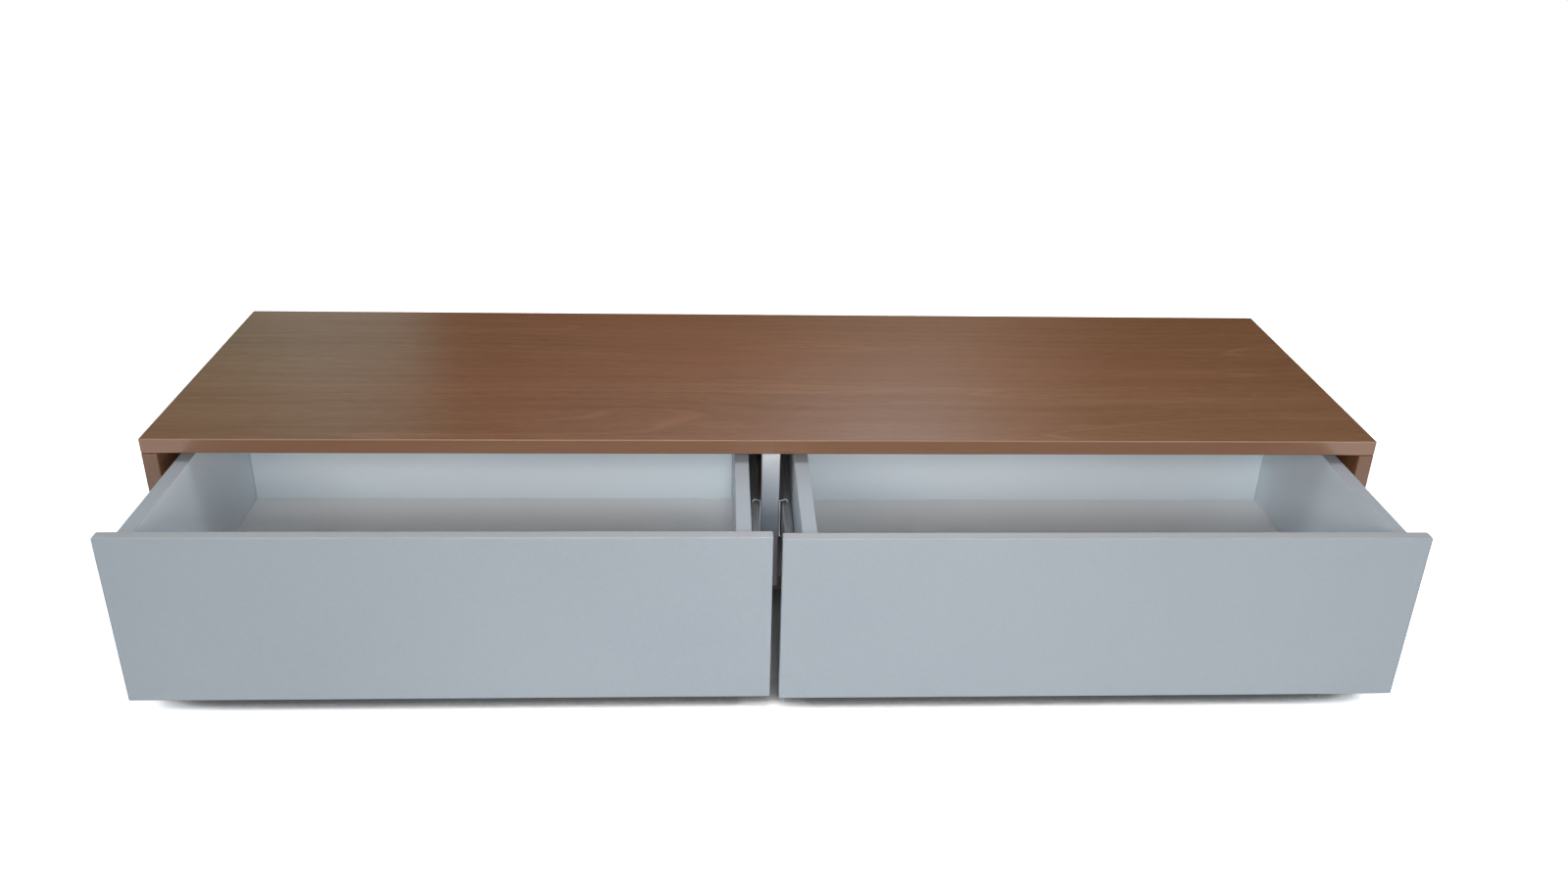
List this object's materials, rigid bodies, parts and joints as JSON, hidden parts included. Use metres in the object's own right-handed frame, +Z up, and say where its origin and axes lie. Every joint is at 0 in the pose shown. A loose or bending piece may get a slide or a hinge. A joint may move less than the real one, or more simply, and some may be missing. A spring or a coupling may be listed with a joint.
{
  "type": "floating sideboard",
  "caption": "Low wall-hung sideboard: veneered carcase with two handle-free white drawers side by side on ball-bearing slides, shown partly open.",
  "frame": {"origin": "centre of the wall rail's back face, on the wall plane", "axes": "+Z up, +Y into the wall, +X along the cabinet to the right of someone who faces it; the drawers open towards -Y"},
  "size_m": [1.2, 0.504, 0.19],
  "materials": {
    "wood_veneer": "satin lacquered veneer",
    "pale_edging": "matt edging",
    "raw_board": "plain thin board",
    "rail_timber": "planed softwood",
    "white_lacquer": "satin white lacquer on board",
    "white_board": "white faced board",
    "dowel_timber": "plain beech",
    "zinc_steel": "zinc plated",
    "cage_steel": "pressed steel with balls",
    "black_plastic": "moulded"
  },
  "bodies": {
    "carcase": {"top_panel": "wood_veneer", "left_side_panel": "wood_veneer", "right_side_panel": "wood_veneer", "bottom_panel": "wood_veneer", "centre_divider": "wood_veneer", "divider_edge_strip": "pale_edging", "back_panel": "raw_board", "cabinet_cleat": "rail_timber", "wall_cleat": "rail_timber", "lower_spacer": "rail_timber", "left_drawer_outer_slide_cabinet_member": "zinc_steel", "left_drawer_outer_slide_rear_stop": "black_plastic", "left_drawer_inner_slide_cabinet_member": "zinc_steel", "left_drawer_inner_slide_rear_stop": "black_plastic", "right_drawer_outer_slide_cabinet_member": "zinc_steel", "right_drawer_outer_slide_rear_stop": "black_plastic", "right_drawer_inner_slide_cabinet_member": "zinc_steel", "right_drawer_inner_slide_rear_stop": "black_plastic"},
    "left_drawer": {"left_drawer_front": "white_lacquer", "left_drawer_outer_side": "white_board", "left_drawer_inner_side": "white_board", "left_drawer_back": "white_board", "left_drawer_bottom": "white_board", "left_drawer_outer_lower_dowel": "dowel_timber", "left_drawer_outer_upper_dowel": "dowel_timber", "left_drawer_inner_lower_dowel": "dowel_timber", "left_drawer_inner_upper_dowel": "dowel_timber", "left_drawer_outer_slide_drawer_member": "zinc_steel", "left_drawer_inner_slide_drawer_member": "zinc_steel"},
    "left_drawer_outer_slide_middle_member": {"left_drawer_outer_slide_middle_member": "zinc_steel"},
    "left_drawer_outer_slide_outer_cage": {"left_drawer_outer_slide_outer_cage": "cage_steel"},
    "left_drawer_outer_slide_inner_cage": {"left_drawer_outer_slide_inner_cage": "cage_steel"},
    "left_drawer_outer_slide_release_lever": {"left_drawer_outer_slide_release_lever": "black_plastic"},
    "left_drawer_inner_slide_middle_member": {"left_drawer_inner_slide_middle_member": "zinc_steel"},
    "left_drawer_inner_slide_outer_cage": {"left_drawer_inner_slide_outer_cage": "cage_steel"},
    "left_drawer_inner_slide_inner_cage": {"left_drawer_inner_slide_inner_cage": "cage_steel"},
    "left_drawer_inner_slide_release_lever": {"left_drawer_inner_slide_release_lever": "black_plastic"},
    "right_drawer": {"right_drawer_front": "white_lacquer", "right_drawer_outer_side": "white_board", "right_drawer_inner_side": "white_board", "right_drawer_back": "white_board", "right_drawer_bottom": "white_board", "right_drawer_outer_lower_dowel": "dowel_timber", "right_drawer_outer_upper_dowel": "dowel_timber", "right_drawer_inner_lower_dowel": "dowel_timber", "right_drawer_inner_upper_dowel": "dowel_timber", "right_drawer_outer_slide_drawer_member": "zinc_steel", "right_drawer_inner_slide_drawer_member": "zinc_steel"},
    "right_drawer_outer_slide_middle_member": {"right_drawer_outer_slide_middle_member": "zinc_steel"},
    "right_drawer_outer_slide_outer_cage": {"right_drawer_outer_slide_outer_cage": "cage_steel"},
    "right_drawer_outer_slide_inner_cage": {"right_drawer_outer_slide_inner_cage": "cage_steel"},
    "right_drawer_outer_slide_release_lever": {"right_drawer_outer_slide_release_lever": "black_plastic"},
    "right_drawer_inner_slide_middle_member": {"right_drawer_inner_slide_middle_member": "zinc_steel"},
    "right_drawer_inner_slide_outer_cage": {"right_drawer_inner_slide_outer_cage": "cage_steel"},
    "right_drawer_inner_slide_inner_cage": {"right_drawer_inner_slide_inner_cage": "cage_steel"},
    "right_drawer_inner_slide_release_lever": {"right_drawer_inner_slide_release_lever": "black_plastic"}
  },
  "joints": [
    {"name": "left_drawer_slide", "type": "slide", "parent": "carcase", "child": "left_drawer", "axis": [0, -1, 0], "range_m": [-0.156, 0.144]},
    {"name": "left_drawer_outer_slide_middle_member_travel", "type": "slide", "parent": "carcase", "child": "left_drawer_outer_slide_middle_member", "axis": [0, -1, 0], "range_m": [-0.0785, 0.0725]},
    {"name": "left_drawer_outer_slide_outer_cage_travel", "type": "slide", "parent": "carcase", "child": "left_drawer_outer_slide_outer_cage", "axis": [0, -1, 0], "range_m": [-0.0395, 0.0365]},
    {"name": "left_drawer_outer_slide_inner_cage_travel", "type": "slide", "parent": "carcase", "child": "left_drawer_outer_slide_inner_cage", "axis": [0, -1, 0], "range_m": [-0.1175, 0.1085]},
    {"name": "left_drawer_outer_slide_release_lever_press", "type": "hinge", "parent": "left_drawer", "child": "left_drawer_outer_slide_release_lever", "pos_m": [-0.5751, -0.336, -0.00398], "axis": [1, 0, 0], "range_deg": [-6, 0], "stiffness_Nm_per_rad": 0.5},
    {"name": "left_drawer_inner_slide_middle_member_travel", "type": "slide", "parent": "carcase", "child": "left_drawer_inner_slide_middle_member", "axis": [0, -1, 0], "range_m": [-0.0785, 0.0725]},
    {"name": "left_drawer_inner_slide_outer_cage_travel", "type": "slide", "parent": "carcase", "child": "left_drawer_inner_slide_outer_cage", "axis": [0, -1, 0], "range_m": [-0.0395, 0.0365]},
    {"name": "left_drawer_inner_slide_inner_cage_travel", "type": "slide", "parent": "carcase", "child": "left_drawer_inner_slide_inner_cage", "axis": [0, -1, 0], "range_m": [-0.1175, 0.1085]},
    {"name": "left_drawer_inner_slide_release_lever_press", "type": "hinge", "parent": "left_drawer", "child": "left_drawer_inner_slide_release_lever", "pos_m": [-0.0189, -0.336, -0.00398], "axis": [1, 0, 0], "range_deg": [0, 6], "stiffness_Nm_per_rad": 0.5},
    {"name": "right_drawer_slide", "type": "slide", "parent": "carcase", "child": "right_drawer", "axis": [0, -1, 0], "range_m": [-0.159, 0.141]},
    {"name": "right_drawer_outer_slide_middle_member_travel", "type": "slide", "parent": "carcase", "child": "right_drawer_outer_slide_middle_member", "axis": [0, -1, 0], "range_m": [-0.08, 0.071]},
    {"name": "right_drawer_outer_slide_outer_cage_travel", "type": "slide", "parent": "carcase", "child": "right_drawer_outer_slide_outer_cage", "axis": [0, -1, 0], "range_m": [-0.04025, 0.03575]},
    {"name": "right_drawer_outer_slide_inner_cage_travel", "type": "slide", "parent": "carcase", "child": "right_drawer_outer_slide_inner_cage", "axis": [0, -1, 0], "range_m": [-0.11975, 0.10625]},
    {"name": "right_drawer_outer_slide_release_lever_press", "type": "hinge", "parent": "right_drawer", "child": "right_drawer_outer_slide_release_lever", "pos_m": [0.5751, -0.339, -0.00398], "axis": [1, 0, 0], "range_deg": [0, 6], "stiffness_Nm_per_rad": 0.5},
    {"name": "right_drawer_inner_slide_middle_member_travel", "type": "slide", "parent": "carcase", "child": "right_drawer_inner_slide_middle_member", "axis": [0, -1, 0], "range_m": [-0.08, 0.071]},
    {"name": "right_drawer_inner_slide_outer_cage_travel", "type": "slide", "parent": "carcase", "child": "right_drawer_inner_slide_outer_cage", "axis": [0, -1, 0], "range_m": [-0.04025, 0.03575]},
    {"name": "right_drawer_inner_slide_inner_cage_travel", "type": "slide", "parent": "carcase", "child": "right_drawer_inner_slide_inner_cage", "axis": [0, -1, 0], "range_m": [-0.11975, 0.10625]},
    {"name": "right_drawer_inner_slide_release_lever_press", "type": "hinge", "parent": "right_drawer", "child": "right_drawer_inner_slide_release_lever", "pos_m": [0.0189, -0.339, -0.00398], "axis": [1, 0, 0], "range_deg": [-6, 0], "stiffness_Nm_per_rad": 0.5}
  ],
  "couplings": [
    {"joint": "left_drawer_outer_slide_middle_member_travel", "follows": "left_drawer_slide", "ratio": 0.5},
    {"joint": "left_drawer_outer_slide_outer_cage_travel", "follows": "left_drawer_slide", "ratio": 0.25},
    {"joint": "left_drawer_outer_slide_inner_cage_travel", "follows": "left_drawer_slide", "ratio": 0.75},
    {"joint": "left_drawer_inner_slide_middle_member_travel", "follows": "left_drawer_slide", "ratio": 0.5},
    {"joint": "left_drawer_inner_slide_outer_cage_travel", "follows": "left_drawer_slide", "ratio": 0.25},
    {"joint": "left_drawer_inner_slide_inner_cage_travel", "follows": "left_drawer_slide", "ratio": 0.75},
    {"joint": "right_drawer_outer_slide_middle_member_travel", "follows": "right_drawer_slide", "ratio": 0.5},
    {"joint": "right_drawer_outer_slide_outer_cage_travel", "follows": "right_drawer_slide", "ratio": 0.25},
    {"joint": "right_drawer_outer_slide_inner_cage_travel", "follows": "right_drawer_slide", "ratio": 0.75},
    {"joint": "right_drawer_inner_slide_middle_member_travel", "follows": "right_drawer_slide", "ratio": 0.5},
    {"joint": "right_drawer_inner_slide_outer_cage_travel", "follows": "right_drawer_slide", "ratio": 0.25},
    {"joint": "right_drawer_inner_slide_inner_cage_travel", "follows": "right_drawer_slide", "ratio": 0.75}
  ]
}
